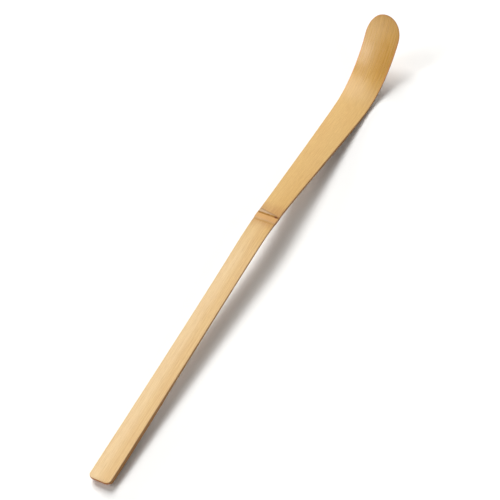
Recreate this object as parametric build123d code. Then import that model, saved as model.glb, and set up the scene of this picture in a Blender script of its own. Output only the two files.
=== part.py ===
from build123d import *
import os
from math import atan2, cos, degrees, dist, radians, sin, sqrt

# A tea scoop carved and bent from one strip of bamboo, lying as it is put down on a table.
# X runs from the cut end of the handle to the tip of the scoop and Z is up. The strip rests on
# its back at the foot of the cut end and on the belly under the bend, with its middle arched clear.
# The origin is on the table, under the middle of the strip. Millimetres and degrees.

# Runs of the strip, measured along its skin face from the cut end to the tip
handle_length = 81.0
node_bend_length = 19.0
shaft_length = 42.5
lead_in_length = 7.0
scoop_length = 30.5

# How far each run turns, upwards positive
handle_turn = 1.6
node_bend_turn = -11.3
shaft_turn = 0.6
lead_in_turn = 4.0
scoop_turn = 75.5

# The strip is split from the wall of a culm, so its skin face keeps the culm's round
culm_radius = 24.0

# Widths across the skin face
cut_end_width = 5.7
waist_width = 5.55
node_width = 6.0
neck_width = 7.3
belly_width = 9.15
tip_width = 10.35

# Thicknesses of the rim, from the edge of the skin face down to the back
cut_end_rim = 2.45
handle_rim = 1.65
relief_rim = 1.4
node_rim = 1.75
shaft_rim = 1.45
belly_rim = 1.1
tip_rim = 0.5

# The broken arris along the skin face, and the wood left on the back of the handle for planing
arris = 0.2
planing_stock = 0.15

# The node's ring round the culm, and the groove that the sheath left beside it
ring_length = 2.8
ring_height = 0.22
scar_offset = 1.5
scar_radius = 0.14

# The rounded outlines of the two ends, and how much wider the tip's rounding starts than the strip
tip_round_length = 7.0
tip_round_margin = 0.03
corner_radius = 0.9

# The knife's bevel under the cut end: what it leaves upright below the skin, and its run on the back
end_upright = 0.95
end_bevel_length = 1.6

# How far a cutting block stands past what it cuts
overrun = 3.0

# The part of the rim that stays upright above the bevel along the back, and the bevel's slope
cut_end_upright_share = 0.92
grip_upright_share = 0.86
handle_upright_share = 0.6
shaft_upright_share = 0.72
tip_upright_share = 0.8
bevel_share = 1.2

# The widening that the rounded tip would have had without its rounding
tip_flare_share = 1.03

# Places on the handle, on the bend at the node, on the shaft and on the lead-in to the scoop
grip_share = 0.26
grip_end_share = 0.45
waist_share = 0.68
planed_share = 0.95
relief_share = 0.3
scar_share = 0.68
neck_share = 0.47
belly_share = 0.95

# Where the cross-sections stand on each run, closer together where it bends or swells
handle_shares = [0, 0.12, 0.2, 0.26, 0.34, 0.45, 0.56, 0.68, 0.8, 0.9]
node_bend_shares = [0, 0.12, 0.24, 0.36, 0.86]
ring_shares = [-2, -1.4, -1, -0.6, -0.3, 0, 0.3, 0.6, 1, 1.4, 2]
shaft_shares = [0, 0.15, 0.3, 0.47, 0.65, 0.85]
lead_in_shares = [0, 0.35, 0.7]
scoop_shares = [0, 0.1, 0.2, 0.3, 0.4, 0.5, 0.6, 0.7, 0.8, 0.9, 1]

# In how many steps the back past the handle is searched for the point that the strip lies on
lying_steps = 600

# Places that follow, measured along the skin face from the cut end
shaft_start = handle_length + node_bend_length
lead_in_start = shaft_start + shaft_length
scoop_start = lead_in_start + lead_in_length
strip_length = scoop_start + scoop_length
grip = handle_length * grip_share
grip_end = handle_length * grip_end_share
waist = handle_length * waist_share
planed_end = handle_length * planed_share
relief = handle_length + node_bend_length * relief_share
scar = handle_length + node_bend_length * scar_share
ring = scar - scar_offset
neck = shaft_start + shaft_length * neck_share
belly = lead_in_start + lead_in_length * belly_share
tip_round_start = strip_length - tip_round_length

runs = [
    (handle_length, handle_turn),
    (node_bend_length, node_bend_turn),
    (shaft_length, shaft_turn),
    (lead_in_length, lead_in_turn),
    (scoop_length, scoop_turn),
]

widths = [
    (0, cut_end_width),
    (waist, waist_width),
    (scar, node_width),
    (neck, neck_width),
    (belly, belly_width),
    (tip_round_start, tip_width),
    (strip_length, tip_width * tip_flare_share),
]

rims = [
    (0, cut_end_rim),
    (planed_end, handle_rim),
    (relief, relief_rim),
    (scar, node_rim),
    (neck, shaft_rim),
    (belly, belly_rim),
    (strip_length, tip_rim),
]

upright_shares = [
    (0, cut_end_upright_share),
    (grip, grip_upright_share),
    (grip_end, handle_upright_share),
    (neck, shaft_upright_share),
    (belly, shaft_upright_share),
    (strip_length, tip_upright_share),
]


def between(table, place):
    """The table's value at a place, on a smooth curve that never swings past its rows."""
    if place <= table[0][0]:
        return table[0][1]
    if place >= table[-1][0]:
        return table[-1][1]
    grades = [(b[1] - a[1]) / (b[0] - a[0]) for a, b in zip(table, table[1:])]
    slopes = [grades[0]]
    for before, after in zip(grades, grades[1:]):
        turning = before * after <= 0
        slopes.append(0 if turning else 2 * before * after / (before + after))
    slopes.append(grades[-1])
    row = max(i for i, (start, _) in enumerate(table) if start <= place)
    span = table[row + 1][0] - table[row][0]
    rise = table[row + 1][1] - table[row][1]
    t = (place - table[row][0]) / span
    lean = slopes[row] * (1 - t) - slopes[row + 1] * t
    return table[row][1] + rise * t * t * (3 - 2 * t) + span * lean * t * (1 - t)


def skin_line(place):
    """X, Z and slope of the skin face's middle line, before the strip is laid down.

    The cut end is upright there. Before it and past the tip the line keeps the nearest bend.
    """
    x, z, slope = 0, 0, 0
    last = len(runs) - 1
    for index, (length, turn) in enumerate(runs):
        part = place if index == last else min(place, length)
        if index:
            part = max(part, 0)
        swing = turn * part / length
        half_swing = radians(swing) / 2
        chord = part * sin(half_swing) / half_swing if swing else part
        x += chord * cos(radians(slope) + half_swing)
        z += chord * sin(radians(slope) + half_swing)
        slope += swing
        place -= part
    return x, z, slope


def plane_at(place):
    """The plane square to the strip at a place, with its y axis out of the skin face."""
    x, z, slope = skin_line(place)
    along = (cos(radians(slope)), 0, sin(radians(slope)))
    return Plane(origin=(x, 0, z), x_dir=(0, 1, 0), z_dir=along)


def crown(half):
    """How far the culm's round drops from the middle of the skin face to a half width."""
    return culm_radius - sqrt(culm_radius**2 - half**2)


def thickness(place):
    """From the middle of the skin face down to the finished back."""
    return crown(between(widths, place) / 2) + between(rims, place)


def back_point(place):
    """X and Z of the middle of the finished back, before the strip is laid down."""
    x, z, slope = skin_line(place)
    depth = thickness(place)
    return x + depth * sin(radians(slope)), z - depth * cos(radians(slope))


def ring_swell(place):
    """How far the node's ring stands above the skin face at a place."""
    reach = (place - ring) / (ring_length / 2)
    return ring_height * max(0, 1 - reach**2) ** 2


def section(place):
    """The strip's cross-section: crowned face, arrises, upright sides, bevels and flat back."""
    half = between(widths, place) / 2
    rim = between(rims, place)
    upright = rim * between(upright_shares, place)
    stock = planing_stock if place < waist else 0
    swell = ring_swell(place)
    right = [
        (half - arris, swell - crown(half - arris)),
        (half, swell - crown(half) - arris),
        (half, -crown(half) - upright),
        (half - (rim - upright) * bevel_share, -crown(half) - rim - stock),
    ]
    left = [(-y, z) for y, z in reversed(right)]
    outline = [ThreePointArc(left[-1], (0, swell), right[0])]
    corners = right + left
    outline += [Line(a, b) for a, b in zip(corners, corners[1:])]
    return plane_at(place) * Face(Wire(outline))


def section_places():
    """Where the cross-sections stand, from short of the cut end to past the tip."""
    places = [-overrun, planed_end, strip_length + overrun]
    places += [handle_length * share for share in handle_shares]
    places += [handle_length + node_bend_length * share for share in node_bend_shares]
    places += [ring + ring_length / 2 * share for share in ring_shares]
    places += [shaft_start + shaft_length * share for share in shaft_shares]
    places += [lead_in_start + lead_in_length * share for share in lead_in_shares]
    places += [scoop_start + scoop_length * share for share in scoop_shares]
    return sorted(set(places))


def bent_strip():
    """The strip with its thickness and width carved and its bends set, but with raw ends."""
    return loft([section(place) for place in section_places()])


def planed_back(x):
    """Z of the planed back of the handle at an X, before the strip is laid down."""
    near_x, near_z = back_point(0)
    far_x, far_z = back_point(planed_end)
    return near_z + (x - near_x) * (far_z - near_z) / (far_x - near_x)


def side_profile_cutter(*corners):
    """A block through the strip from side to side, from the corners of its X and Z outline."""
    outline = Polyline(*corners, corners[0])
    return extrude(Plane.XZ * Face(Wire(outline)), cut_end_width, both=True)


def back_plane_cutter():
    """What a plane takes off to make the back of the handle one flat face."""
    start = -2 * overrun
    stop = back_point(handle_length)[0]
    bottom = planed_back(start) - overrun
    return side_profile_cutter(
        (start, planed_back(start)), (stop, planed_back(stop)), (stop, bottom), (start, bottom)
    )


def end_bevel_cutter():
    """What the knife takes off under the cut end, from its upright face down to the back."""
    run = end_bevel_length
    rise = (planed_back(run) + end_upright) / run
    reach = run + overrun
    bottom = rise * reach - end_upright
    return side_profile_cutter(
        (-overrun, -end_upright - rise * overrun), (reach, bottom), (-overrun, bottom)
    )


def cut_end_cutter():
    """What the saw and the knife take off to leave a square end with rounded corners."""
    depth = thickness(0) + overrun
    block = Rectangle(4 * overrun, cut_end_width + 2 * overrun)
    keep = RectangleRounded(8 * overrun, cut_end_width, corner_radius)
    waste = Pos(-2 * overrun + corner_radius, 0) * block - Pos(4 * overrun, 0) * keep
    return extrude(waste, depth, both=True)


def tip_cutter():
    """What the knife takes off round the tip, square to the skin in the middle of the rounding."""
    x, z, _ = skin_line(tip_round_start)
    tip_x, tip_z, _ = skin_line(strip_length)
    across = tip_width + 2 * overrun
    reach = dist((x, z), (tip_x, tip_z))
    chord = (tip_x - x, 0, tip_z - z)
    face = Plane(origin=(x, 0, z), x_dir=chord, z_dir=(z - tip_z, 0, tip_x - x))
    block = Rectangle(reach + 4 * overrun, across, align=(Align.MIN, Align.CENTER))
    keep = Ellipse(reach, tip_width / 2 + tip_round_margin)
    return extrude(face * (block - keep), 2 * overrun, both=True)


def sheath_scar():
    """The groove that the sheath left on the culm, as a ring round the culm's own axis."""
    groove = Torus(culm_radius, scar_radius)
    return plane_at(scar) * (Pos(0, -culm_radius, 0) * groove)


def lying_slope():
    """The slope from the foot of the cut end to the belly, which becomes level on the table."""
    foot_x, foot_z = end_bevel_length, planed_back(end_bevel_length)
    step = (strip_length - handle_length) / lying_steps
    backs = [back_point(handle_length + step * i) for i in range(lying_steps)]
    return degrees(min(atan2(z - foot_z, x - foot_x) for x, z in backs))


def bamboo_scoop():
    scoop = bent_strip()
    for waste in (back_plane_cutter, cut_end_cutter, end_bevel_cutter, tip_cutter, sheath_scar):
        scoop = scoop - waste()
    scoop = Rot(0, lying_slope(), 0) * scoop
    box = scoop.bounding_box()
    return Pos(-box.center().X, 0, -box.min.Z) * scoop


os.makedirs("parts", exist_ok=True)
export_step(bamboo_scoop(), "parts/bamboo_scoop.step")
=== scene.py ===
# %% [markdown]
# # A bamboo tea scoop, dressed for the picture
# The scoop is one strip of bamboo. A knife gives it its outline, steam bends its end up, and nothing
# is glued or pinned to it. So this lesson builds one piece, and spends its effort on the surface.
#
# The imported CAD model is the frame. Its box is measured first.

# %% Load the frame
import math

import bpy
import numpy as np
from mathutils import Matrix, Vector
from mathutils.bvhtree import BVHTree


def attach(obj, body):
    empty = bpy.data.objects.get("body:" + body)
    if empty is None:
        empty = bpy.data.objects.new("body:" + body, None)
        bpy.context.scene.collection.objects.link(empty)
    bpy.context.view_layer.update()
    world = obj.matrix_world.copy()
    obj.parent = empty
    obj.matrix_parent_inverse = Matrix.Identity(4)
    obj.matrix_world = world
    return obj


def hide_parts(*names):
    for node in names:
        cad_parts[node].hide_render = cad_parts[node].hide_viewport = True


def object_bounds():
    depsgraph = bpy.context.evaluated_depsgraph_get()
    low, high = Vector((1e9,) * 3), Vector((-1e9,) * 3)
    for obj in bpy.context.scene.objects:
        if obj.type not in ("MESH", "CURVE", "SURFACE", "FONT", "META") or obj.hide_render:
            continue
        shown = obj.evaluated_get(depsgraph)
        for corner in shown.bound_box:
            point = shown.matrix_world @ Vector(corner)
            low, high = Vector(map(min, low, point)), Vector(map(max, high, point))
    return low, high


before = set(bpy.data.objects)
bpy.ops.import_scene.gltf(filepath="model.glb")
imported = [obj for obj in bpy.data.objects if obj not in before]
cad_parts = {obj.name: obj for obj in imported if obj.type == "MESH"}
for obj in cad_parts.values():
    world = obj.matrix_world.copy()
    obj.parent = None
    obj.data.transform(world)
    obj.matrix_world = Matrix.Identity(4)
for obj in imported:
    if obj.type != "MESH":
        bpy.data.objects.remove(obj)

cad_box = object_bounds()
MM = 0.001
print("CAD box in mm:", [[round(c / MM, 3) for c in corner] for corner in cad_box])


# %% [markdown]
# ## The strip's own measures
# A maker thinks along the strip: how far from the cut end, how far from the middle, how deep under
# the skin. Sizes are in millimetres, and a place is the length of skin from the cut end.
#
# They could be read off the CAD model's mesh. But a mesh knows no place along the wood and no depth
# under the skin, and the finish needs both. So the sizes that it was drawn with stand here, and a
# later cell measures how well the two agree.

# %% Runs, places, widths and thicknesses
runs = ((81.0, 1.6), (19.0, -11.3), (42.5, 0.6), (7.0, 4.0), (30.5, 75.5))
strip_length = sum(length for length, turn in runs)
culm_radius = 24.0

grip, grip_end, waist, planed_end, relief = 21.06, 36.45, 55.08, 76.95, 86.7
scar, neck, belly, tip_round = 93.92, 119.98, 149.15, 173.0

widths = (
    (0, 5.7), (waist, 5.55), (scar, 6.0), (neck, 7.3), (belly, 9.15), (tip_round, 10.35),
    (strip_length, 10.66),
)
rims = (
    (0, 2.45), (planed_end, 1.65), (relief, 1.4), (scar, 1.75), (neck, 1.45), (belly, 1.1),
    (strip_length, 0.5),
)
upright_shares = (
    (0, 0.92), (grip, 0.86), (grip_end, 0.6), (neck, 0.72), (belly, 0.72), (strip_length, 0.8),
)
bevel_share, planing_stock, stock_span = 1.2, 0.15, (50, 58)
print("a strip of", strip_length, "mm in", len(runs), "runs")


# %% [markdown]
# ## Curves through a few sizes
# The tables give a size at a few places, and the knife runs smoothly from one to the next. Straight
# lines would leave kinks at the rows, and a plain cubic would bulge between them. This curve takes
# its slope at a row from both neighbours and never swings past them.

# %% Helpers for smooth change
def between(table, place):
    """The table's value at each place, on a smooth curve that stays between its rows."""
    at = np.array([row[0] for row in table], float)
    value = np.array([row[1] for row in table], float)
    grade = np.diff(value) / np.diff(at)
    product, total = grade[:-1] * grade[1:], grade[:-1] + grade[1:]
    inner = np.where(product > 0, 2 * product / np.where(product > 0, total, 1), 0)
    slope = np.concatenate(([grade[0]], inner, [grade[-1]]))
    place = np.clip(place, at[0], at[-1])
    row = np.clip(np.searchsorted(at, place, side="right") - 1, 0, len(grade) - 1)
    span = at[row + 1] - at[row]
    t = (place - at[row]) / span
    lean = slope[row] * (1 - t) - slope[row + 1] * t
    rise = value[row + 1] - value[row]
    return value[row] + rise * t * t * (3 - 2 * t) + span * lean * t * (1 - t)


def fade(low, high, value):
    """0 below low, 1 above high, and smooth in between."""
    t = np.clip((value - low) / (high - low), 0, 1)
    return t * t * (3 - 2 * t)


def bump(centre, reach, value):
    """A soft hill of height 1 at the centre, which is gone at the reach on either side."""
    return np.maximum(0, 1 - ((value - centre) / reach) ** 2) ** 2


def toward(value, target, part):
    """A value carried this part of the way to a target."""
    return value + (target - value) * part


print("half width at the belly, mm:", between(widths, belly) / 2)


# %% [markdown]
# ## The bent line of the skin
# The strip is straight wood that was steamed and bent. Its line is a chain of arcs that run into each
# other without a kink, each with a length and a turn. It could be a Bezier curve with handles, but
# then its length is only known once it is drawn, and here the length is what is given.

# %% The line, before the strip is laid down
starts = [(0.0, 0.0, 0.0, 0.0)]
for length, turn in runs:
    at, x, z, slope = starts[-1]
    half_turn = math.radians(turn) / 2
    chord = length * math.sin(half_turn) / half_turn
    x, z = x + chord * math.cos(slope + half_turn), z + chord * math.sin(slope + half_turn)
    starts.append((at + length, x, z, slope + 2 * half_turn))
run_start = np.array(starts[:-1])
run_bend = np.array([math.radians(turn) / length for length, turn in runs])
no_swing = 1e-9


def skin_line(place):
    """X, Z and slope of the skin's middle line at each place, before the strip is laid down."""
    place = np.asarray(place, float)
    row = np.clip(np.searchsorted(run_start[:, 0], place, side="right") - 1, 0, len(runs) - 1)
    at, x, z, slope = np.moveaxis(run_start[row], -1, 0)
    swing = run_bend[row] * (place - at)
    half_swing = np.where(np.abs(swing) < no_swing, no_swing, swing / 2)
    chord = (place - at) * np.sin(half_swing) / half_swing
    x, z = x + chord * np.cos(slope + half_swing), z + chord * np.sin(slope + half_swing)
    return x, z, slope + swing


print("slope at the tip, degrees:", round(float(np.degrees(skin_line(strip_length)[2])), 2))


# %% [markdown]
# ## How thick the wood is
# The strip is split from the wall of a culm, so its skin keeps the culm's round. Its back is cut: on
# the handle it is planed to one flat face, and past it the knife follows the bend. The depth of the
# back under the skin's middle is found where a line square to the skin meets the planed face.

# %% Depth of the back
def crown(across):
    """How far the culm's round has dropped at a distance from the middle."""
    return culm_radius - np.sqrt(culm_radius**2 - across**2)


def half_width(place):
    return between(widths, place) / 2


def carved_depth(place):
    return crown(half_width(place)) + between(rims, place)


def back_point(place):
    x, z, slope = skin_line(place)
    depth = carved_depth(place)
    return x + depth * np.sin(slope), z - depth * np.cos(slope)


near_x, near_z = back_point(0.0)
far_x, far_z = back_point(planed_end)
plane_run, plane_rise = far_x - near_x, far_z - near_z


def back_depth(place):
    """Depth of the finished back under the middle of the skin."""
    x, z, slope = skin_line(place)
    over_plane = (z - near_z) * plane_run - (x - near_x) * plane_rise
    to_plane = over_plane / (plane_run * np.cos(slope) + plane_rise * np.sin(slope))
    return np.where(place < planed_end, to_plane, carved_depth(place))


print("depth at 2, 40, 92 and 175 mm:", np.round(back_depth(np.array([2.0, 40, 92, 175])), 2))


# %% [markdown]
# ## Laid down on the table
# Put down, the scoop rests on the foot of its handle, behind the bevel of the cut end, and on its
# belly under the bend. The slope from one to the other becomes level. It could be typed as an angle,
# but worked out from the sizes it is right by itself. The CAD box says where along X the strip lies.
#
# Everything below is drawn on the flat strip and bent only here, just as the fibres were.

# %% From the flat strip into the frame
end_bevel = 1.6
foot_x, foot_z = end_bevel, near_z + (end_bevel - near_x) * plane_rise / plane_run
belly_x, belly_z = back_point(np.linspace(runs[0][0], strip_length, 601))
lying_slope = -float(np.arctan2(belly_z - foot_z, belly_x - foot_x).min())
foot_height = foot_x * math.sin(lying_slope) + foot_z * math.cos(lying_slope)


def set_in_air(place, across, height):
    """Points of the frame, in metres, for places on the strip and heights over its middle line."""
    x, z, slope = skin_line(place)
    x, z = x - height * np.sin(slope), z + height * np.cos(slope)
    laid_x = x * math.cos(lying_slope) - z * math.sin(lying_slope) + cad_box[0][0] / MM
    laid_z = x * math.sin(lying_slope) + z * math.cos(lying_slope) - foot_height
    return np.stack((laid_x, across + 0 * x, laid_z), -1) * MM


print("lying slope, degrees:", round(math.degrees(lying_slope), 4))
print("skin at the tip, mm:", np.round(set_in_air(strip_length, 0.0, 0.0) / MM, 3))


# %% [markdown]
# ## Fibres as relief
# Bamboo is never flat: its fibres stand as fine ridges along the strip. They can be done in the
# shader alone, but then the mesh that leaves Blender is smooth. So the broad ones are real relief, a
# hundredth of a millimetre high on the skin and up to three on the back, and only the finest are left
# to the material. The relief is noise on a seeded table, stretched along the strip.

# %% Seeded noise
chance = np.random.default_rng(1808)
noise_table = chance.random((96, 512))


def noise(along, across):
    """Smooth noise from 0 to 1 over two directions, one unit between its knots."""
    a0, c0 = np.floor(along).astype(int), np.floor(across).astype(int)
    ta, tc = along - a0, across - c0
    ta, tc = ta * ta * (3 - 2 * ta), tc * tc * (3 - 2 * tc)

    def knot(a, c):
        return noise_table[(a0 + a) % len(noise_table), (c0 + c) % len(noise_table[0])]

    low = knot(0, 0) * (1 - tc) + knot(0, 1) * tc
    high = knot(1, 0) * (1 - tc) + knot(1, 1) * tc
    return low * (1 - ta) + high * ta


broad_share, narrower, shorter = 0.62, 2.3, 1.7
broad_patch, narrow_patch = (0, 200), (31, 77)


def fibre_relief(place, across, spacing, reach):
    """Ridges along the strip, from -0.5 to 0.5, as wide as spacing and as long as reach."""
    along, aside = place / reach, across / spacing
    broad = noise(along + broad_patch[0], aside + broad_patch[1])
    narrow = noise(along * shorter + narrow_patch[0], aside * narrower + narrow_patch[1])
    return broad_share * broad + (1 - broad_share) * narrow - 0.5


print("relief at one point, as a share:", round(float(fibre_relief(40.0, 0.3, 0.35, 22.0)), 3))


# %% [markdown]
# ## The node
# Where the culm had a node, the skin swells into a low ring. On the scoop's side of it lies the scar
# of the sheath: a fine dark groove with the small waver of a torn edge, a finer crease that closes in
# on it, and a pit where the two meet at one side. On the handle's side the skin was scraped. That
# leaves a soft second line, and below it a shallow hollow with a rounded end, which is lost along the
# handle. A texture could paint all this, but as height over the skin it also catches the light.

# %% Sizes of the node's marks
ring, ring_reach, ring_height = 93.0, 1.3, 0.1
scar_middle, scar_reach, scar_depth, scar_waver = 94.5, 0.3, 0.1, 0.12
crease_middle, crease_slant, crease_waver = 95.42, 0.2, 0.1
crease_reach, crease_depth = 0.16, 0.05
pit_place, pit_across, pit_squash, pit_reach, pit_depth = 94.55, -2.3, 0.8, 0.42, 0.16
second_line, second_reach, second_depth = 91.75, 0.5, 0.05
scar_tears, crease_tears = 1.1, 1.4
scar_patch, crease_patch = (9, 3.3), (27, 8.3)

hollow_far, hollow_near, hollow_depth = 91.4, 80.0, 0.05
hollow_middle, hollow_side = 0.4, (1.5, 2.3)
hollow_dip_share, hollow_round_share, hollow_round, hollow_loss = 0.16, 0.12, 0.7, 1.5
print("the marks lie from", hollow_near, "to", crease_middle, "mm")


# %% Where the marks run
def scar_place(across):
    """Where the sheath scar crosses the strip."""
    torn = noise(across * scar_tears + scar_patch[0], scar_patch[1])
    return scar_middle + scar_waver * (torn - 0.5)


def crease_place(across):
    """Where the finer crease lies, which closes in on the scar towards the pit."""
    torn = noise(across * crease_tears + crease_patch[0], crease_patch[1])
    return crease_middle + crease_slant * across + crease_waver * (torn - 0.5)


def pit_gap(place, across):
    return np.hypot(place - pit_place, (across - pit_across) * pit_squash)


def hollow(place, across):
    """The scraped hollow, 1 at its deepest: rounded near the node and lost along the handle."""
    reach = np.clip((hollow_far - place) / (hollow_far - hollow_near), 0, 1)
    rounding = hollow_round * (1 - reach / hollow_round_share).clip(0) ** 2
    side = 1 - fade(*hollow_side, np.abs(across - hollow_middle) + rounding)
    return side * fade(0, hollow_dip_share, reach) * (1 - reach) ** hollow_loss * (place < hollow_far)


print("scar at the middle, mm:", round(float(scar_place(0.0)), 3))


# %% [markdown]
# ## The finished skin and back
# The knife doesn't leave the culm's whole round. Along the handle and the shaft only a third of the
# crown is left, so the light lies evenly across; in the bend most of it stays and stiffens the tip.
# The long edges stand up a little as a lip. The back is planed coarse on the handle, and scraped
# smoother under the scoop.

# %% Height of the skin and of the back
crown_left_shares = (
    (0, 0.4), (100, 0.33), (148, 0.33), (158, 0.8), (168, 0.9), (strip_length, 0.7),
)
lip_reach, lip_height = 0.55, 0.026
skin_fibres, skin_fibre_width, skin_fibre_length = 0.012, 0.33, 24.0
back_fibres, scraped_fibres, back_fibre_width, back_fibre_length = 0.03, 0.015, 0.42, 30.0
back_ring, back_ring_reach, back_ring_height, back_ring_slant = 93.4, 0.8, 0.04, 0.12
side_wider = ((0, 0.1), (150, 0.1), (166, 0.05), (174, 0.01), (strip_length, 0))
node_wider, node_wide_place, node_wide_reach = 0.08, 94, 2.6


def wider(place):
    """How much wider each side was left than the CAD outline, which is drawn a little lean."""
    return between(side_wider, place) + node_wider * bump(node_wide_place, node_wide_reach, place)


def shaved_drop(place, across):
    """How far the skin drops from its middle once the crown is shaved. The edges keep their drop."""
    left = between(crown_left_shares, place)
    return crown(half_width(place)) * (1 - left) + crown(across) * left


def skin_height(place, across):
    """Height of the finished skin over the middle line of the strip."""
    height = -shaved_drop(place, across) + ring_height * bump(ring, ring_reach, place)
    for depth, reach, gap in (
        (scar_depth, scar_reach, place - scar_place(across)),
        (crease_depth, crease_reach, place - crease_place(across)),
        (pit_depth, pit_reach, pit_gap(place, across)),
        (second_depth, second_reach, place - second_line),
    ):
        height = height - depth * bump(0, reach, gap)
    from_edge = half_width(place) + wider(place) - np.abs(across)
    height = height + lip_height * (1 - from_edge / lip_reach).clip(0) ** 2
    height = height - hollow_depth * hollow(place, across)
    fine = skin_fibres * (1 - 0.5 * fade(150, 170, place))
    return height + fine * (fibre_relief(place, across, skin_fibre_width, skin_fibre_length) - 0.5)


def back_height(place, across):
    """Height of the finished back, with the low ring that the node leaves there too."""
    coarse = toward(back_fibres, scraped_fibres, fade(95, 120, place))
    ridges = coarse * (fibre_relief(place, across, back_fibre_width, back_fibre_length) + 0.5)
    mark = back_ring_height * bump(back_ring, back_ring_reach, place + back_ring_slant * across)
    return -back_depth(place) + ridges + mark


print("skin at the ring and past it, mm:", np.round(skin_height(np.array([ring, ring + 9]), 0.0), 3))


# %% [markdown]
# ## A grid that follows the outline
# The strip could be sliced square across like a loaf, but then the last slices at the rounded tip
# shrink to a point and pinch the shading. Here the rows are straight in the middle of the strip and
# bow out towards its ends, until the first is the cut end with its rounded corners and the last is
# the round of the tip. They stand closest at the node, where the relief is finest.
#
# A knife never follows a ruler, so up to the bend the outline breathes by a few hundredths.

# %% Rows and columns
row_steps = (
    (0, 2, 0.24), (2, 84, 0.56), (84, 90, 0.28), (90, 96.4, 0.06),
    (96.4, 140, 0.5), (140, 178, 0.38), (178, strip_length, 0.22),
)
row_runs = [np.linspace(a, b, round((b - a) / step), endpoint=False) for a, b, step in row_steps]
row_places = np.concatenate(row_runs + [[strip_length]])
column_count = 66
column_share = np.linspace(-1, 1, column_count)
tip_reach = strip_length - tip_round
corner_radius, end_rows, end_bow, tip_bow_start = 1.25, 9, 12, 150
breath, breath_patches, breath_fade = 0.04, ((9, 5.5), (14, 40.5)), (120, 160)
even_share = 0.7
print(len(row_places), "rows,", column_count, "columns")


# %% The grid
def end_columns(half, corner):
    """Column shares that are evenly spaced along the cut end and round its corners."""
    straight = half - corner
    way = column_share * (straight + corner * math.pi / 2)
    bend = np.clip((np.abs(way) - straight) / corner, 0, math.pi / 2)
    across = np.where(np.abs(way) < straight, np.abs(way), straight + corner * np.sin(bend))
    return np.sign(way) * across / half


def breathing(place, patch):
    """Slow noise along the outline, gone where the bend begins."""
    return breath * (1 - fade(*breath_fade, place)) * noise(place / patch[0], patch[1])


def outline_grid(side_inset, corner, end_inset, tip_inset):
    """Places and distances across of a grid drawn this far inside the strip's outline."""
    to_tip = fade(tip_bow_start, strip_length, row_places)
    to_end = (1 - row_places / end_bow).clip(0) ** 2
    side_place = row_places + (end_inset + corner) * to_end - tip_reach * to_tip
    half = half_width(side_place) + wider(side_place) - side_inset(side_place)
    half = half - breathing(side_place, breath_patches[0])
    give = breath * (1 - fade(*breath_fade, side_place))
    lean = breathing(side_place, breath_patches[1]) - give / 2
    rounded = np.sin(column_share * math.pi / 2)
    plain = even_share * column_share + (1 - even_share) * rounded
    near_end = (1 - fade(0, end_rows, row_places))[:, None]
    share = toward(plain, end_columns(half[0], corner), near_end)
    share = toward(share, rounded, to_tip[:, None])
    corner_part = np.clip((np.abs(share) * half[0] - (half[0] - corner)) / corner, 0, 1)
    end_pull = end_inset + corner * (1 - np.sqrt(1 - corner_part**2))
    tip_pull = tip_reach - (tip_reach - tip_inset) * np.sqrt((1 - share**2).clip(0))
    place = row_places[:, None] + end_pull * to_end[:, None] - tip_pull * to_tip[:, None]
    return place, share * half[:, None] + lean[:, None]


def rim_of(grid):
    """The grid's border as one loop: a side, the tip, the other side and the cut end."""
    return np.concatenate((grid[:, -1], grid[-1, -2::-1], grid[-2::-1, 0], grid[0, 1:-1]))


# %% [markdown]
# ## Face, back and the rim between them
# The skin's edge is broken to a small round arris, the side stands upright below it, and a bevel runs
# in to the back. The cut end has its own bevel, and the tip is thinned from below so that its rim
# looks fine. Bevel modifiers could round a plain strip, but each of these edges has its own size at
# each place. So they are one profile that changes as it goes round the strip, and each step of it is
# a loop of points between the border of the face and that of the back.
#
# The upright wall shows as the dark band along the shaded side. It is tallest at the grip, half as
# tall past it, and lower round the corners of the cut end.

# %% Sizes of the rim
arris_radius = ((0, 0.12), (8, 0.1), (150, 0.1), (173, 0.1), (strip_length, 0.09))
thinning = ((0, 0), (150, 0.0), (166, 0.25), (strip_length, 0.55))
wall_shares = (
    (0, 0.92), (grip, 0.86), (grip_end, 0.58), (70, 0.5), (105, 0.55), (135, 0.85), (belly, 0.9),
    (strip_length, 0.8),
)
end_upright, corner_upright, corner_run, tallest_share = 0.85, 1.2, (0.3, 4.5), 0.86
soft_edge, soft_run, soft_bevel_share, soft_wall_share = 0.16, 0.3, 0.45, 0.4
least_bevel, least_run_share = 0.03, 0.2
face_inset, face_tip_inset, back_corner, back_tip_inset = 0.13, 0.1, 0.5, 1.7
arris_steps, wall_steps, soft_steps = 6, 3, 3
end_reach, end_facing = 3, (0.1, 1)


def side_bevel(place):
    """How far in the bevel along the back runs."""
    rim, share = between(rims, place), between(upright_shares, place)
    stock = planing_stock * (1 - fade(*stock_span, place))
    slope = bevel_share * rim * (1 - share) / (rim * (1 - share) + stock)
    finished = back_depth(place) - crown(half_width(place))
    return (finished - rim * share).clip(least_bevel) * slope + between(thinning, place)


print("bevel at the grip and at the neck, mm:", np.round(side_bevel(np.array([grip, neck])), 2))


# %% The three grids and what lies between them
face = outline_grid(
    lambda place: between(arris_radius, place), corner_radius - face_inset, face_inset, face_tip_inset
)
edge = outline_grid(lambda place: 0 * place, corner_radius, 0, 0)
back = outline_grid(
    lambda place: side_bevel(place) + soft_edge, back_corner, end_bevel + soft_edge, back_tip_inset
)

rim_place, rim_across = rim_of(edge[0]), rim_of(edge[1])
back_place, back_across = rim_of(back[0]), rim_of(back[1])
run_in = np.hypot(back_place - rim_place, back_across - rim_across)
step_place = np.roll(rim_place, -1) - np.roll(rim_place, 1)
step_across = np.roll(rim_across, -1) - np.roll(rim_across, 1)
facing = step_across / np.hypot(step_place, step_across)
end_weight = fade(*end_facing, facing * (rim_place < end_reach))
arris = between(arris_radius, rim_place)

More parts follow.
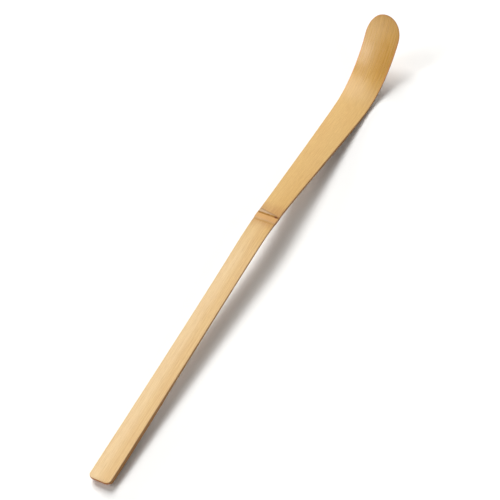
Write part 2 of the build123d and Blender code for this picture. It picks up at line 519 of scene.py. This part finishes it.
skin_drop = crown(rim_across)
rim_depth = back_depth(back_place) - skin_drop
upright = between(rims, rim_place) * between(wall_shares, rim_place)
upright = toward(upright, corner_upright - skin_drop, 1 - fade(*corner_run, rim_place))
upright = toward(upright, end_upright - skin_drop, end_weight)
upright = np.minimum(upright, tallest_share * rim_depth)
print(len(rim_place), "points round the rim")


# %% Profile round the rim
def along_profile(part, depth):
    """Points at a part of the way in to the back's border and at a depth under the edge."""
    place, across = toward(rim_place, back_place, part), toward(rim_across, back_across, part)
    return place, across, -skin_drop - depth


def arris_loops():
    """The loops of the round arris, from the face's border to the upright wall."""
    face_place, face_across = rim_of(face[0]), rim_of(face[1])
    for turn in np.linspace(0, math.pi / 2, arris_steps + 1)[1:]:
        place = toward(face_place, rim_place, math.sin(turn))
        across = toward(face_across, rim_across, math.sin(turn))
        yield place, across, skin_height(place, across) - arris * (1 - math.cos(turn))


def wall_loops():
    """The loops of the upright wall and the bevel, with their soft corners, down to the back."""
    low = (1 - soft_edge / run_in).clip(least_run_share)
    fall = rim_depth - upright
    bevel = np.hypot(run_in * low, fall)
    first = np.minimum(soft_bevel_share, soft_run / bevel)
    last = 1 - np.minimum(soft_bevel_share, soft_edge / bevel)
    start = upright - np.minimum(soft_run, soft_wall_share * (upright - arris))
    for t in np.linspace(0, 1, wall_steps + 1)[1:]:
        yield along_profile(0 * run_in, toward(arris, start, t))
    for t in np.linspace(0, 1, soft_steps + 1)[1:]:
        depth = (1 - t) ** 2 * start + 2 * t * (1 - t) * upright + t * t * (upright + fall * first)
        yield along_profile(t * t * low * first, depth)
    for t in np.linspace(0, 1, wall_steps + 1)[1:]:
        part = toward(first, last, t)
        yield along_profile(low * part, upright + fall * part)
    for t in np.linspace(0, 1, soft_steps + 1)[1:-1]:
        part = (1 - t) ** 2 * low * last + 2 * t * (1 - t) * low + t * t
        yield along_profile(part, toward(rim_depth, upright + fall * last, (1 - t) ** 2))


loops = list(arris_loops()) + list(wall_loops())
print(len(loops), "loops between the face and the back")


# %% [markdown]
# ## Sew the strip together
# Blender takes points and faces as plain lists. The face and the back are grids of quads, and each
# loop is sewn to the next, so the strip is one closed skin with no modifier on it.

# %% Build the mesh
row_count, around = len(row_places), len(rim_place)
grid_points = row_count * column_count
flat_faces = (face[0], face[1], skin_height(*face)), (back[0], back[1], back_height(*back))
parts = [tuple(part.ravel() for part in flat) for flat in flat_faces] + loops
strip_place, strip_across, strip_height = (np.concatenate([part[i] for part in parts]) for i in range(3))
points = set_in_air(strip_place, strip_across, strip_height)

face_index = np.arange(grid_points).reshape(row_count, column_count)
back_index = face_index + grid_points
loop_index = [2 * grid_points + around * i + np.arange(around) for i in range(len(loops))]
rings = [rim_of(face_index)] + loop_index + [rim_of(back_index)]


def quads_between(a, b, c, d):
    return np.stack((a, b, c, d), -1).reshape(-1, 4)


top, low = face_index, back_index
top_quads = quads_between(top[:-1, :-1], top[1:, :-1], top[1:, 1:], top[:-1, 1:])
low_quads = quads_between(low[:-1, :-1], low[:-1, 1:], low[1:, 1:], low[1:, :-1])
side_quads = [quads_between(a, np.roll(a, -1), np.roll(b, -1), b) for a, b in zip(rings, rings[1:])]
quads = np.concatenate([top_quads, low_quads] + side_quads)

mesh = bpy.data.meshes.new("bamboo_strip")
mesh.from_pydata(points.tolist(), [], quads.tolist())
mesh.validate()
mesh.shade_smooth()
strip = bpy.data.objects.new("bamboo_strip", mesh)
scene = bpy.context.scene
scene.collection.objects.link(strip)
print(len(points), "points,", len(quads), "quads")


# %% [markdown]
# ## What each point remembers
# A UV map could carry the grain, but it has a seam, and no depth for the cut end. So every point
# stores where on the flat strip it lies, how near it is to an edge, and how far it is from the marks
# of the node. The materials read these, so their fibres bend with the wood.

# %% Point attributes
edge_band, skin_film = 0.4, 0.1


def remember(name, values):
    """Stores one value or one vector for each point of the mesh."""
    values = np.ascontiguousarray(values, np.float32)
    kind, key = ("FLOAT", "value") if values.ndim == 1 else ("FLOAT_VECTOR", "vector")
    mesh.attributes.new(name, kind, "POINT").data.foreach_set(key, values.ravel())


def edge_gap(grid):
    """How far each point of a grid is from the grid's border."""
    place, across = grid
    side = np.minimum(across - across[:, :1], across[:, -1:] - across)
    ends = np.minimum(place - place[:1], place[-1:] - place)
    return np.minimum(side, ends).ravel()


under_skin = -shaved_drop(strip_place, strip_across) - strip_height
depth = np.where(np.arange(len(points)) < grid_points, 0, under_skin).clip(0)
loop_number = np.repeat(np.arange(len(loops)), around)
near_edge = np.concatenate(
    (1 - fade(0, edge_band, edge_gap(face)), np.zeros(grid_points), loop_number < arris_steps - 2)
)

remember("strip", np.stack((strip_place, strip_across, depth), -1))
remember("edge", near_edge)
remember("scar_gap", strip_place - scar_place(strip_across))
remember("crease_gap", strip_place - crease_place(strip_across))
remember("pit_gap", pit_gap(strip_place, strip_across) + depth)
remember("hollow", hollow(strip_place, strip_across) * (depth < skin_film))
print([a.name for a in mesh.attributes])


# %% [markdown]
# ## Does it fit the CAD model?
# The dressed strip has to be the CAD strip, seen closer. The distance from every twentieth point to
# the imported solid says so: it stays within the relief, the shaved crown, the sides that were left a
# tenth wider, the softer edges and the thinned tip.

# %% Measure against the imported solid
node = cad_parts["bamboo_scoop"]
solid = BVHTree.FromObject(node, bpy.context.evaluated_depsgraph_get())
gaps = np.array([solid.find_nearest(Vector(p))[3] for p in points[::20]]) / MM
print("from the solid, middle and most, mm:", np.round((np.median(gaps), gaps.max()), 3))


# %% [markdown]
# ## Helpers for shader nodes
# Node trees in code are long, because each node is made, set and linked. These helpers do all three
# in one line. A wire is either a plain value or another node's output.

# %% Node helpers
def fill(tree, socket, value):
    """Links an output to a socket, or sets the socket to a plain value."""
    if isinstance(value, bpy.types.NodeSocket):
        tree.links.new(value, socket)
    else:
        socket.default_value = value


def put(tree, kind, wires=(), **settings):
    """Adds a node, sets its properties and fills its inputs."""
    node = tree.nodes.new(kind)
    for key, value in settings.items():
        setattr(node, key, value)
    for key, value in dict(wires).items():
        fill(tree, node.inputs[key], value)
    return node


def reckon(tree, operation, *values):
    """The result of a math node over one to three values."""
    return put(tree, "ShaderNodeMath", dict(enumerate(values)), operation=operation).outputs[0]


def times(tree, value, factor, *extra):
    """A value times a factor, plus an extra value where one is given."""
    return reckon(tree, "MULTIPLY_ADD" if extra else "MULTIPLY", value, factor, *extra)


def ramp(tree, value, low, high, out_low=0.0, out_high=1.0):
    """A value carried smoothly from one range to another and kept inside it."""
    wires = dict(enumerate((value, low, high, out_low, out_high)))
    return put(tree, "ShaderNodeMapRange", wires, interpolation_type="SMOOTHSTEP").outputs[0]


def where_both(tree, value, span, other, other_span):
    """One ramp times another."""
    return times(tree, ramp(tree, value, *span), ramp(tree, other, *other_span))


def tint(tree, part, under, over, mode="MIX"):
    """One colour laid over another by a part."""
    wires = {0: part, 6: under, 7: over}
    return put(tree, "ShaderNodeMix", wires, data_type="RGBA", blend_type=mode).outputs[2]


def layer(tree, mask, part, under, over, mode="MIX"):
    """One colour laid over another where a mask says, and there only by a part."""
    return tint(tree, times(tree, mask, part), under, over, mode)


def scaled(tree, where, scale):
    """A place squeezed or stretched along the strip, across it and in depth."""
    return put(tree, "ShaderNodeVectorMath", {0: where, 1: scale}, operation="MULTIPLY").outputs[0]


def noise_at(tree, where, scale=1.0, detail=3.0, roughness=0.5):
    wires = {"Vector": where, "Scale": scale, "Detail": detail, "Roughness": roughness}
    return put(tree, "ShaderNodeTexNoise", wires).outputs[0]


def srgb(red, green, blue):
    """A colour that is written as it looks on the screen, from 0 to 255."""
    line = [c / 255 for c in (red, green, blue)]
    return tuple(c / 12.92 if c <= 0.04045 else ((c + 0.055) / 1.055) ** 2.4 for c in line) + (1.0,)


print("straw in linear light:", [round(c, 3) for c in srgb(226, 197, 148)])


# %% [markdown]
# ## Groups
# An effect that more than one material uses is a node group: built once, with named inputs and
# outputs, and placed in each material with its own values. A group puts out only masks, values and
# colours. The Principled shader stays in the material, where the export can read it.

# %% Helpers for groups
def group(name, values, outputs, colours=()):
    """An empty group that takes Strip, colours and values. All it puts out but Colour are values."""
    tree = bpy.data.node_groups.new(name, "ShaderNodeTree")
    kinds = {"Strip": "Vector", **dict.fromkeys(colours, "Color"), **dict.fromkeys(values, "Float")}
    for label, kind in kinds.items():
        socket = tree.interface.new_socket(name=label, in_out="INPUT", socket_type="NodeSocket" + kind)
        if label in values:
            socket.default_value = values[label]
    for label in outputs:
        kind = "Color" if label == "Colour" else "Float"
        tree.interface.new_socket(name=label, in_out="OUTPUT", socket_type="NodeSocket" + kind)
    return tree, tree.nodes.new("NodeGroupInput").outputs, tree.nodes.new("NodeGroupOutput").inputs


def put_out(tree, out, **values):
    """Links values to the group's outputs of these names."""
    for label, value in values.items():
        tree.links.new(value, out[label])
    print(tree.name, "puts out", ", ".join(values))


def place_group(tree, made, **wires):
    """Places a group and fills the inputs that have these names, with spaces for underscores."""
    node = put(tree, "ShaderNodeGroup", node_tree=made)
    for key, value in wires.items():
        fill(tree, node.inputs[key.replace("_", " ")], value)
    return node.outputs


# %% [markdown]
# ## Fibres
# Bamboo has no rings. Its wood is pale pith with long darker strands, thick as a hair under the skin
# and thicker inside. A wood texture made of rings would be wrong, and a noise stretched a hundredfold
# along the strip is right. It is solid, so it gives lines on the sides and dots on the cut end.

# %% Group: bamboo fibres
finer, strand_scale, strand_scatter = 3.3, 0.9, 0.85
strands = ("Streaks", "Fine", "Strands")
fibres, given, out = group("bamboo fibres", {"Width": 0.3, "Length": 30.0}, strands)
along = reckon(fibres, "DIVIDE", 1.0, given["Length"])
aside = reckon(fibres, "DIVIDE", 1.0, given["Width"])
stretch = put(fibres, "ShaderNodeCombineXYZ", {0: along, 1: aside, 2: aside}).outputs[0]
laid = scaled(fibres, given["Strip"], stretch)
cell_wires = {"Vector": laid, "Scale": strand_scale, "Randomness": strand_scatter}
cells = put(fibres, "ShaderNodeTexVoronoi", cell_wires, feature="F1").outputs[0]
put_out(
    fibres, out,
    Streaks=ramp(fibres, noise_at(fibres, laid, roughness=0.6), 0.3, 0.7),
    Fine=noise_at(fibres, laid, finer, 2.0, 0.6),
    Strands=ramp(fibres, cells, 0.34, 0.12),
)


# %% [markdown]
# ## Tone along the strip
# Heat and hands darken bamboo. The handle keeps the pale straw colour of dried wood. At the node the
# strip is toasted brown, past it the shaft is honey, and the bend, which was held over the heat, is
# amber. Its tip is paler, partly its own tone and partly painted light where the lamps leave it dim.
# The right side, turned from the lamps, gets painted shade: a little darker on the handle and a
# richer gold in the bend. One colour ramp would show where each tone ends, so a soft cloud moves the
# limits to and fro.

# %% Group: tone and painted light
honey_span, amber_span, tip_span = (72, 98), (148, 167), (163, 176)
toast_rise, toast_fall = (88, 92), (101, 96)
painted_gold_shade_rise, painted_gold_shade_fall, painted_side_shade_span = (155, 163), (178, 168), (128, 84)
tip_side, painted_side_shade_across, painted_gold_shade_across = (2.5, -3.5, 0.75, 1.0), (1.2, -1.7), (1.0, -3.0)
cloud_scale, blotch_colour = (0.09, 0.3, 0.3), srgb(196, 130, 66)
tones = ("Straw", "Honey", "Toast", "Amber", "Tip")
told = ("Colour", "Warmth", "Deeper", "Golden")
tone, given, out = group("tone and painted light", {"Blotch": 0.1}, told, tones)
cloud = noise_at(tone, scaled(tone, given["Strip"], cloud_scale), roughness=0.55)
place, across, _ = put(tone, "ShaderNodeSeparateXYZ", {0: given["Strip"]}).outputs


def swayed(value, reach):
    """A place or a distance that the cloud moves to and fro."""
    return times(tone, reckon(tone, "SUBTRACT", cloud, 0.5), reach, value)


far, near, leaning = swayed(place, 8.0), swayed(place, 2.5), swayed(across, 1.6)
to_amber = ramp(tone, far, *amber_span)
# The paler tip is partly its own tone and partly painted light, lifting it where the lamps leave it dim.
pale_tip_and_light = where_both(tone, far, tip_span, across, tip_side)
toasted = where_both(tone, near, toast_rise, near, toast_fall)
blotched = times(tone, ramp(tone, cloud, 0.35, 0.75), given["Blotch"])
# Painted shade: the bend's right side, turned from the lamps and their sheen, is made a richer gold.
painted_gold_shade = where_both(tone, leaning, painted_gold_shade_across, far, painted_gold_shade_rise)
painted_gold_shade = times(tone, painted_gold_shade, ramp(tone, far, *painted_gold_shade_fall))
# Painted shade: the handle's right side, turned from the lamps, is made a little darker.
painted_side_shade = where_both(tone, leaning, painted_side_shade_across, place, painted_side_shade_span)
toned = tint(tone, ramp(tone, far, *honey_span), given["Straw"], given["Honey"])
for part, over in ((to_amber, given["Amber"]), (pale_tip_and_light, given["Tip"]), (toasted, given["Toast"])):
    toned = tint(tone, part, toned, over)
toned = tint(tone, blotched, toned, blotch_colour)
put_out(tone, out, Colour=toned, Warmth=to_amber, Deeper=painted_side_shade, Golden=painted_gold_shade)


# %% [markdown]
# ## Marks of the node
# The distances from the scar, the crease and the pit are already stored on the points, so each mark
# is a simple band of one of them: the dark line, the finer crease, the pale greyish strip between the
# two where the sheath sat, the rosy ring on the handle's side, the soft second line below it, and the
# pit. The second line is partly a scrape mark and partly painted shade at the foot of the ring, and
# the pit is partly its own dark colour and partly painted shade in its hollow. The torn edge makes
# the lines fainter in places.

# %% Group: node marks
torn_scale, second_gap = (1.2, 2.2, 1.0), 2.78
scar_line, line_side = 0.16, (2.8, -1.5, 0.5, 0.58)
crease_band, second_band, pit_band = (0.4, 0.08), (0.62, 0.1), (0.56, 0.2)
marks, given, out = group(
    "node marks", {"Scar Gap": 9.0, "Crease Gap": 9.0, "Pit Gap": 9.0},
    ("Line", "Crease", "Pale", "Rosy", "Second", "Pit"),
)
gap, crease_gap = given["Scar Gap"], given["Crease Gap"]
across = put(marks, "ShaderNodeSeparateXYZ", {0: given["Strip"]}).outputs[1]
torn = noise_at(marks, scaled(marks, given["Strip"], torn_scale))


def band(distance, outer, inner):
    """1 in the middle of a band, and gone at this distance on either side."""
    return ramp(marks, reckon(marks, "ABSOLUTE", distance), outer, inner)


def where_torn(mask, *span):
    return times(marks, mask, ramp(marks, torn, *span))


put_out(
    marks, out,
    Line=where_torn(band(gap, ramp(marks, across, *line_side), scar_line), 0.2, 0.55, 0.6, 1.0),
    Crease=where_torn(band(crease_gap, *crease_band), 0.6, 0.3, 0.5, 1.0),
    Pale=where_both(marks, gap, (0.2, 0.4), crease_gap, (0.1, -0.15)),
    Rosy=where_both(marks, gap, (-2.5, -1.9), gap, (-0.1, -0.5)),
    Second=where_torn(band(reckon(marks, "ADD", gap, second_gap), *second_band), 0.25, 0.6, 0.65, 1.0),
    Pit=ramp(marks, given["Pit Gap"], *pit_band),
)


# %% [markdown]
# ## Rubbed edges
# Hands and powder polish the edges first. On the skin they are smoother and a little browner, but
# never evenly. A Pointiness node could find the edges, but only in one engine, so the nearness to an
# edge that the points remember is used.

# %% Group: rubbed edge
rubbed_scale, rubbed_span = (0.35, 1.0, 1.0), (0.3, 0.65, 0.35, 1.0)
rubbed, given, out = group("rubbed edge", {"Edge": 0.0, "Amount": 0.6}, ("Rub",))
uneven = noise_at(rubbed, scaled(rubbed, given["Strip"], rubbed_scale))
rub = times(rubbed, given["Edge"], ramp(rubbed, uneven, *rubbed_span))
put_out(rubbed, out, Rub=times(rubbed, rub, given["Amount"]))


# %% [markdown]
# ## The materials
# One strip, three finishes: the skin, rubbed until it shines softly; the split wood of the sides and
# the back, duller and browner; and the cut end, where the strands are seen end on. One material with
# masks could do it, but three are easier to read, and each keeps its own Principled shader.

# %% Helpers for the materials
def attribute(tree, name):
    node = put(tree, "ShaderNodeAttribute", attribute_name=name, attribute_type="GEOMETRY")
    return node.outputs["Vector"] if name == "strip" else node.outputs["Fac"]


def empty_tree(owner):
    """The node tree of a material or a world, with nothing in it."""
    owner.use_nodes = True
    owner.node_tree.nodes.clear()
    return owner.node_tree


def start_material(name):
    material = bpy.data.materials.new(name)
    tree = empty_tree(material)
    shader = put(tree, "ShaderNodeBsdfPrincipled")
    tree.links.new(shader.outputs[0], tree.nodes.new("ShaderNodeOutputMaterial").inputs[0])
    return material, tree, attribute(tree, "strip")


def complete(material, colour, rough, grain, stands):
    """Links colour, roughness and a grain that stands this many millimetres high to the shader."""
    tree = material.node_tree
    relief = put(tree, "ShaderNodeBump", {"Height": grain, "Distance": stands * MM}).outputs[0]
    shader = tree.nodes["Principled BSDF"].inputs
    for label, value in (("Base Color", colour), ("Roughness", rough), ("Normal", relief)):
        tree.links.new(value, shader[label])
    print(material.name, len(tree.nodes), "nodes")


def node_marks(tree, flat):
    """The marks, from the distances that the points remember."""
    return place_group(
        tree, marks, Strip=flat, Scar_Gap=attribute(tree, "scar_gap"),
        Crease_Gap=attribute(tree, "crease_gap"), Pit_Gap=attribute(tree, "pit_gap"),
    )


print(len(bpy.data.node_groups), "groups are ready for three materials")


# %% [markdown]
# ## The skin
# Pale straw to amber along the strip, broad streaks, darker hairs and small flecks of fibre, and the
# marks of the node over them. The amber bend has a warm orange rim. The shine is broad: bare bamboo
# is satin, smoother in the bend and on the rubbed edges, and dull in the scar and the crease.

# %% Material: skin
skin, tree, flat = start_material("bamboo_skin")
tree.nodes["Principled BSDF"].inputs["Specular IOR Level"].default_value = 0.7
# The Tip colour is partly painted light: it lifts the tip where the lamps leave it dim.
base = place_group(
    tree, tone, Strip=flat, Straw=srgb(226, 197, 148), Honey=srgb(210, 173, 108),
    Toast=srgb(191, 149, 91), Amber=srgb(213, 165, 76), Tip=srgb(239, 189, 96), Blotch=0.1,
)
grain = place_group(tree, fibres, Strip=flat, Width=0.34, Length=34.0)
hairs = place_group(tree, fibres, Strip=flat, Width=0.21, Length=9.0)
seen = node_marks(tree, flat)
near_edge = attribute(tree, "edge")
worn = place_group(tree, rubbed, Strip=flat, Edge=near_edge, Amount=0.22)
flecks = ramp(tree, hairs["Fine"], 0.36, 0.64, -1.0, 1.0)
pale_flecks = reckon(tree, "MAXIMUM", flecks, 0.0)
dark_flecks = reckon(tree, "MAXIMUM", times(tree, flecks, -1.0), 0.0)
print(skin.name, "has its patterns:", len(tree.nodes), "nodes")

# %% Colour of the skin
# Where that painted shade lies, the streaks are also a little stronger.
streaky = times(tree, base["Deeper"], 0.14, 0.18)
streaky = times(tree, base["Warmth"], 0.16, streaky)
warm_rim = times(tree, base["Warmth"], 0.75)
# Painted shade: the handle's right side is made a little darker.
colour = tint(tree, base["Deeper"], base["Colour"], srgb(250, 243, 224), "MULTIPLY")
# Painted shade: a richer gold on the right side of the bend.
colour = tint(tree, base["Golden"], colour, srgb(250, 240, 186), "MULTIPLY")
colour = layer(tree, grain["Streaks"], streaky, colour, srgb(206, 160, 102), "MULTIPLY")
for mask, part, shade in (
    (hairs["Strands"], 0.3, (176, 122, 64)),
    (pale_flecks, 0.22, (238, 202, 134)),
    (dark_flecks, 0.26, (188, 144, 80)),
    (attribute(tree, "hollow"), 0.14, (234, 208, 168)),
    (seen["Rosy"], 0.5, (209, 156, 91)),
    # The second line is partly a scrape mark and partly painted shade at the foot of the ring.
    (seen["Second"], 0.85, (175, 128, 55)),
    (seen["Pale"], 0.72, (186, 158, 128)),
    (seen["Crease"], 0.8, (140, 106, 74)),
    (seen["Line"], 0.9, (146, 98, 12)),
    # The pit's dark is partly its own colour and partly painted shade in its hollow.
    (seen["Pit"], 0.97, (116, 58, 0)),
    (worn["Rub"], 1.0, (176, 132, 78)),
    (near_edge, warm_rim, (218, 146, 72)),
):
    colour = layer(tree, mask, part, colour, srgb(*shade))
print("colour of the skin made")

# %% Shine and grain of the skin
rough = ramp(tree, grain["Fine"], 0.25, 0.75, 0.33, 0.5)
rough = times(tree, base["Warmth"], -0.14, rough)
dull = reckon(tree, "MAXIMUM", seen["Line"], seen["Crease"])
rough = times(tree, dull, 0.3, rough)
rough = times(tree, worn["Rub"], -0.06, rough)
ridge = times(tree, hairs["Fine"], 0.6, times(tree, grain["Fine"], 0.4))
complete(skin, colour, rough, ridge, 0.018)


# %% [markdown]
# ## The split wood
# The sides and the back are cut across the wall of the culm. The strands are thicker and browner
# there, and the surface is rougher than the skin. The scar and the rosy ring run on, fainter.

# %% Material: split wood
split, tree, flat = start_material("bamboo_split_wood")
base = place_group(
    tree, tone, Strip=flat, Straw=srgb(188, 136, 72), Honey=srgb(180, 127, 62),
    Toast=srgb(166, 112, 54), Amber=srgb(184, 122, 52), Tip=srgb(204, 142, 66), Blotch=0.2,
)
grain = place_group(tree, fibres, Strip=flat, Width=0.42, Length=40.0)
hairs = place_group(tree, fibres, Strip=flat, Width=0.2, Length=16.0)
seen = node_marks(tree, flat)
colour = layer(tree, grain["Streaks"], 0.4, base["Colour"], srgb(190, 140, 90), "MULTIPLY")
colour = layer(tree, grain["Strands"], 0.35, colour, srgb(140, 90, 44))
colour = layer(tree, seen["Line"], 0.5, colour, srgb(120, 78, 38))
colour = layer(tree, seen["Rosy"], 0.3, colour, srgb(190, 126, 76))
rough = ramp(tree, grain["Fine"], 0.2, 0.8, 0.5, 0.64)
ridge = times(tree, hairs["Fine"], 0.5, times(tree, grain["Streaks"], 0.5))
complete(split, colour, rough, ridge, 0.03)


# %% [markdown]
# ## The cut end
# Seen end on, each strand is a brown dot in paler pith, and the saw leaves the wood dull. The five
# tones of the heat are one colour here, and only the blotches show.

# %% Material: cut end
cut_end, tree, flat = start_material("bamboo_cut_end")
one_tone = dict.fromkeys(tones, srgb(198, 128, 74))
base = place_group(tree, tone, Strip=flat, Blotch=0.25, **one_tone)
grain = place_group(tree, fibres, Strip=flat, Width=0.3, Length=8.0)
colour = layer(tree, grain["Strands"], 0.6, base["Colour"], srgb(112, 62, 32))
colour = layer(tree, grain["Streaks"], 0.4, colour, srgb(200, 140, 95), "MULTIPLY")
rough = ramp(tree, grain["Fine"], 0.2, 0.8, 0.62, 0.8)
complete(cut_end, colour, rough, grain["Strands"], 0.03)


# %% [markdown]
# ## Give each face its finish
# The face and the arris are skin, everything under the arris is split wood, and the loops that turn
# round the cut end are end grain. The quads were made in that order, so no face has to be picked by
# hand.

# %% Assign the materials
for material in (skin, split, cut_end):
    mesh.materials.append(material)
skin_slot, split_slot, end_slot = range(3)
loop_of_quad = np.repeat(np.arange(len(side_quads)), around)
end_of_quad = np.tile((end_weight + np.roll(end_weight, -1)) / 2, len(side_quads))
wood_slot = np.where(end_of_quad > 0.5, end_slot, split_slot)
side_slots = np.where(loop_of_quad < arris_steps, skin_slot, wood_slot)
slots = (np.full(len(top_quads), skin_slot), np.full(len(low_quads), split_slot), side_slots)
finish = np.concatenate(slots).astype(np.int32)
mesh.polygons.foreach_set("material_index", finish)
mesh.update()
print("quads of skin, split wood and cut end:", np.bincount(finish).tolist())


# %% [markdown]
# ## The floor
# The scoop lies on a white sweep. A white floor that throws all its light back would fill the shadow
# and the shaded side of the strip. So the floor is white only where the camera looks at it, straight
# or by gloss, and half grey to the light that bounces. From below the camera sees through it.

# %% Floor
def seen_directly(tree):
    """1 for rays of the camera, of gloss and of glass, and 1 for the camera's alone."""
    ray = tree.nodes.new("ShaderNodeLightPath").outputs
    seen = reckon(tree, "MAXIMUM", ray["Is Camera Ray"], ray["Is Glossy Ray"])
    return reckon(tree, "MAXIMUM", seen, ray["Is Transmission Ray"]), ray["Is Camera Ray"]


floor_size, floor_gap = 4.0, 0.02 * MM
bpy.ops.mesh.primitive_plane_add(size=floor_size, location=(0, 0, -floor_gap))
floor = bpy.context.object
floor.name = "white_sweep"
sweep = bpy.data.materials.new("white_sweep")
tree = empty_tree(sweep)
seen, by_camera = seen_directly(tree)
white = tint(tree, seen, (0.5, 0.5, 0.5, 1.0), (1.0, 1.0, 0.99, 1.0))
lit = put(tree, "ShaderNodeBsdfDiffuse", {"Color": white}).outputs[0]
clear = put(tree, "ShaderNodeBsdfTransparent").outputs[0]
backfacing = put(tree, "ShaderNodeNewGeometry").outputs["Backfacing"]
from_under = times(tree, backfacing, by_camera)
both = put(tree, "ShaderNodeMixShader", {0: from_under, 1: lit, 2: clear}).outputs[0]
tree.links.new(both, put(tree, "ShaderNodeOutputMaterial").inputs[0])
floor.data.materials.append(sweep)
print("floor of", floor_size, "m")


# %% [markdown]
# ## Lamps and the world
# The picture's light is a large window high on the left and the room round it. One area lamp would
# give one soft shadow, but the real one is dark near the strip and fades in steps. So there are
# eight sun lamps, each a disc of sky with a direction, a size in degrees and a share of the light on
# the floor. The large window is three of them, and only one is seen by gloss, because three bright
# patches on the bend would be too many. Two smaller panes on the left draw the second highlight, along
# the tip's edge. The last three stand for pale walls, so they are a little warm. Azimuths are in the
# picture: 0 is its right side and 90 its far side.
#
# The world is white to the camera and to gloss, and lends the room only a little light.

# %% Lamps
picture_turn = -63.69
white_light, room_light = (1.0, 1.0, 1.0), (1.0, 0.975, 0.925)
lamps = (
    ("key_high", 137, 57, 22, 0.185, white_light, False),
    ("key_window", 123, 61, 32, 0.22, white_light, True),
    ("key_wide", 109, 42.5, 23, 0.27, white_light, False),
    ("left_window_high", 191, 49.5, 12.5, 0.065, white_light, True),
    ("left_window_low", 201.5, 38, 12.5, 0.065, white_light, True),
    ("left_low", 208, 13, 42, 0.05, room_light, True),
    ("back_low", 116, 8.2, 22, 0.1, room_light, False),
    ("right_fill", 316, 33.5, 16, 0.09, room_light, True),
)


def direction(azimuth, elevation):
    """A way to look, for angles in the picture given in degrees."""
    turn, lifted = math.radians(azimuth + picture_turn), math.radians(elevation)
    level = math.cos(lifted)
    return Vector((level * math.cos(turn), level * math.sin(turn), math.sin(lifted)))


for name, azimuth, elevation, spread, share, colour, shines in lamps:
    lamp = bpy.data.lights.new(name, "SUN")
    lamp.angle = math.radians(spread)
    lamp.color = colour
    lamp.energy = share * math.pi / math.sin(math.radians(elevation))
    holder = bpy.data.objects.new(name, lamp)
    holder.rotation_euler = direction(azimuth, elevation).to_track_quat("Z", "Y").to_euler()
    holder.visible_glossy = shines
    scene.collection.objects.link(holder)
print(len(lamps), "lamps, shares of", round(sum(lamp[4] for lamp in lamps), 3), "in all")

# %% World
room_strength = 0.06
world = bpy.data.worlds.new("plain_studio")
scene.world = world
tree = empty_tree(world)
strength = times(tree, seen_directly(tree)[0], 1 - room_strength, room_strength)
sky = put(tree, "ShaderNodeBackground", {"Color": (1.0, 1.0, 1.0, 1.0), "Strength": strength}).outputs[0]
tree.links.new(sky, put(tree, "ShaderNodeOutputWorld").inputs[0])
print(world.name, "lends", room_strength)


# %% [markdown]
# ## The camera
# The strip runs from corner to corner of a square picture, seen from about 47 degrees above and half
# a metre off. A longer lens from farther off would flatten the strip, whose near end looks larger
# than its far one. The lens follows from how many picture points a millimetre takes at the middle.

# %% Camera
look_at, distance = Vector((0.12, 1.70, 0.0)) * MM, 550.0
camera_azimuth, camera_elevation = 270, 47.18
pixels_per_mm, frame_pixels, sensor_width = 3.7021, 500, 36.0
away = direction(camera_azimuth, camera_elevation)
camera = bpy.data.objects.new("camera", bpy.data.cameras.new("camera"))
camera.data.sensor_width = sensor_width
camera.data.lens = pixels_per_mm * distance * sensor_width / frame_pixels
camera.location = look_at + away * distance * MM
camera.rotation_euler = (-away).to_track_quat("-Z", "Y").to_euler()
camera.data.clip_start, camera.data.clip_end = 0.01, 20.0
scene.collection.objects.link(camera)
scene.camera = camera
scene.view_settings.view_transform = "Standard"
print("camera at", [round(c, 4) for c in camera.location], "lens", round(camera.data.lens, 2))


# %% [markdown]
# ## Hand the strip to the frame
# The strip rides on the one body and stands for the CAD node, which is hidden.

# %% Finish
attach(strip, "root")
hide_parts("bamboo_scoop")
